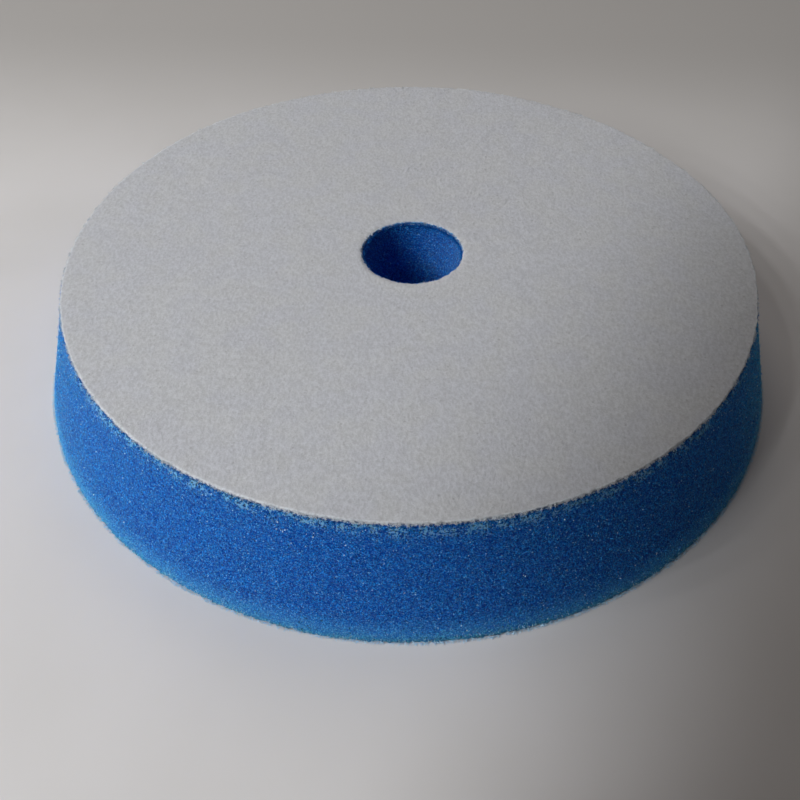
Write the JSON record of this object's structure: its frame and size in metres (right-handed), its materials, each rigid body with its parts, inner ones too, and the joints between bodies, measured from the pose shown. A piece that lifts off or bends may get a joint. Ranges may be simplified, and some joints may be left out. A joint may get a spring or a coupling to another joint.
{
  "type": "polishing pad",
  "caption": "Round tapered foam polishing pad with a centre hole and a brushed loop backing for a hook-faced backing plate.",
  "frame": {"origin": "centre of the working face, which is the wide foam face that the pad lies on", "axes": "+Z along the pad's axis, from the working face to the loop backing; +X and +Y are any two directions in the working face, because the pad is round"},
  "size_m": [0.1656, 0.1656, 0.026],
  "materials": {
    "blue_foam": "open-cell polyurethane foam, matt, deep blue",
    "hot_melt": "thin translucent adhesive film, milky pale blue over the foam",
    "ground_knit": "pale grey warp knit, matt",
    "brushed_loops": "pale grey brushed loop pile, matt with a soft sheen"
  },
  "bodies": {
    "root": {"foam_body": "blue_foam", "adhesive_film": "hot_melt", "backing_knit": "ground_knit", "loop_pile": "brushed_loops"}
  },
  "joints": []
}
